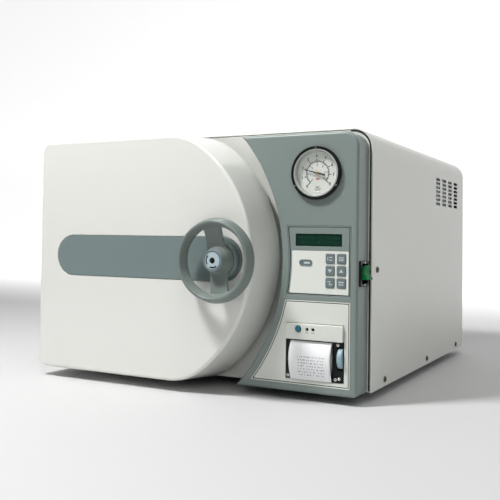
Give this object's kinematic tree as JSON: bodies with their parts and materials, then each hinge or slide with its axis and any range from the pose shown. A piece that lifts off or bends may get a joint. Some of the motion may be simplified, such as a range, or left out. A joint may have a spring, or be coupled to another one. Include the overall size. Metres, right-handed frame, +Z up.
{
  "type": "benchtop autoclave",
  "caption": "Front-loading benchtop steam steriliser with a large hinged door, a handwheel latch, a pressure gauge, a keypad, a small printer and a power rocker.",
  "frame": {"origin": "middle of the overall width and depth, on the surface the feet stand on", "axes": "+Z up; the door faces -Y; +X is to the right of someone facing the door, on the side of the controls"},
  "size_m": [0.4954, 0.6284, 0.354],
  "materials": {
    "white_paint": "satin powder coat",
    "galvanised_steel": "galvanised sheet",
    "polished_steel": "polished stainless",
    "heater_steel": "oxidised",
    "insulation": "woven glass wool",
    "silicone": "silicone rubber",
    "grey_plastic": "moulded, satin",
    "cream_plastic": "moulded, satin",
    "black_plastic": "moulded",
    "lcd_green": "display window",
    "dial_white": "printed dial",
    "clear_glass": "clear",
    "teal_plastic": "button",
    "knob_plastic": "knob",
    "paper": "thermal paper",
    "rocker_green": "translucent rocker",
    "rubber": "moulded feet",
    "tank_plastic": "milky tank",
    "cast_aluminium": "cast",
    "brass": "machined",
    "board_green": "circuit board",
    "core_steel": "laminated core"
  },
  "bodies": {
    "root": {"base_tray": "galvanised_steel", "casing_cover": "white_paint", "chamber_cradle_front": "galvanised_steel", "chamber_cradle_rear": "galvanised_steel", "chamber_flange": "polished_steel", "chamber_vessel": "polished_steel", "condenser": "cast_aluminium", "control_board": "board_green", "control_fascia": "grey_plastic", "exhaust_valve": "brass", "fan_housing": "black_plastic", "foot_left_front": "rubber", "foot_left_rear": "rubber", "foot_right_front": "rubber", "foot_right_rear": "rubber", "front_plate": "white_paint", "gauge_case": "black_plastic", "gauge_dial": "dial_white", "gauge_glass": "clear_glass", "heater_band": "heater_steel", "hinge_bracket_lower": "galvanised_steel", "hinge_bracket_upper": "galvanised_steel", "hinge_pin": "polished_steel", "insulation_jacket": "insulation", "keeper_plate": "galvanised_steel", "keypad_panel": "cream_plastic", "lcd_module": "lcd_green", "mains_inlet": "black_plastic", "paper_strip": "paper", "partition_wall": "galvanised_steel", "printer_cradle": "black_plastic", "printer_head": "cream_plastic", "printer_panel": "cream_plastic", "rear_panel": "white_paint", "safety_valve": "brass", "switch_bezel": "black_plastic", "transformer": "core_steel", "vacuum_pump": "cast_aluminium", "water_pump": "cast_aluminium", "water_tank": "tank_plastic"},
    "door": {"door_cover": "white_paint", "door_band": "grey_plastic", "wheel_boss": "grey_plastic", "door_bar": "galvanised_steel", "door_disc": "polished_steel", "door_gasket": "silicone"},
    "handwheel": {"handwheel": "grey_plastic", "latch_spindle": "polished_steel"},
    "gauge_needle": {"gauge_needle": "black_plastic"},
    "switch_rocker": {"switch_rocker": "rocker_green"},
    "feed_knob": {"feed_knob": "knob_plastic"},
    "paper_roll": {"paper_roll": "paper"},
    "feed_button": {"feed_button": "teal_plastic"},
    "fan_rotor": {"fan_rotor": "black_plastic"},
    "key_1": {"key_1": "grey_plastic"},
    "key_2": {"key_2": "grey_plastic"},
    "key_3": {"key_3": "grey_plastic"},
    "key_4": {"key_4": "grey_plastic"},
    "key_5": {"key_5": "grey_plastic"},
    "key_6": {"key_6": "grey_plastic"}
  },
  "joints": [
    {"name": "door_swing", "type": "hinge", "parent": "root", "child": "door", "pos_m": [-0.22975, -0.22575, 0.1795], "axis": [0, 0, -1], "range_deg": [0, 98]},
    {"name": "wheel_turn", "type": "hinge", "parent": "door", "child": "handwheel", "pos_m": [0.06925, -0.29375, 0.1785], "axis": [0, 1, 0], "range_deg": [0, 90]},
    {"name": "needle_sweep", "type": "hinge", "parent": "root", "child": "gauge_needle", "pos_m": [0.18225, -0.24215, 0.2927], "axis": [0, 1, 0], "range_deg": [-65, 205], "stiffness_Nm_per_rad": 0.001},
    {"name": "rocker_tip", "type": "hinge", "parent": "root", "child": "switch_rocker", "pos_m": [0.23485, -0.22225, 0.16475], "axis": [0, 1, 0], "range_deg": [0, 20]},
    {"name": "knob_turn", "type": "hinge", "parent": "root", "child": "feed_knob", "pos_m": [0.21725, -0.23465, 0.0583], "axis": [1, 0, 0], "continuous": true},
    {"name": "roll_turn", "type": "hinge", "parent": "root", "child": "paper_roll", "pos_m": [0.17735, -0.21965, 0.0531], "axis": [1, 0, 0], "continuous": true},
    {"name": "button_push", "type": "slide", "parent": "root", "child": "feed_button", "axis": [0, 1, 0], "range_m": [0, 0.001], "stiffness_N_per_m": 300, "springref_m": -0.001},
    {"name": "fan_spin", "type": "hinge", "parent": "root", "child": "fan_rotor", "pos_m": [0.15425, 0.29425, 0.162], "axis": [0, 1, 0], "continuous": true},
    {"name": "key_1_push", "type": "slide", "parent": "root", "child": "key_1", "axis": [0, 1, 0], "range_m": [0, 0.0008], "stiffness_N_per_m": 300, "springref_m": -0.001},
    {"name": "key_2_push", "type": "slide", "parent": "root", "child": "key_2", "axis": [0, 1, 0], "range_m": [0, 0.0008], "stiffness_N_per_m": 300, "springref_m": -0.001},
    {"name": "key_3_push", "type": "slide", "parent": "root", "child": "key_3", "axis": [0, 1, 0], "range_m": [0, 0.0008], "stiffness_N_per_m": 300, "springref_m": -0.001},
    {"name": "key_4_push", "type": "slide", "parent": "root", "child": "key_4", "axis": [0, 1, 0], "range_m": [0, 0.0008], "stiffness_N_per_m": 300, "springref_m": -0.001},
    {"name": "key_5_push", "type": "slide", "parent": "root", "child": "key_5", "axis": [0, 1, 0], "range_m": [0, 0.0008], "stiffness_N_per_m": 300, "springref_m": -0.001},
    {"name": "key_6_push", "type": "slide", "parent": "root", "child": "key_6", "axis": [0, 1, 0], "range_m": [0, 0.0008], "stiffness_N_per_m": 300, "springref_m": -0.001}
  ],
  "couplings": [
    {"joint": "roll_turn", "follows": "knob_turn", "ratio": 0.238}
  ]
}
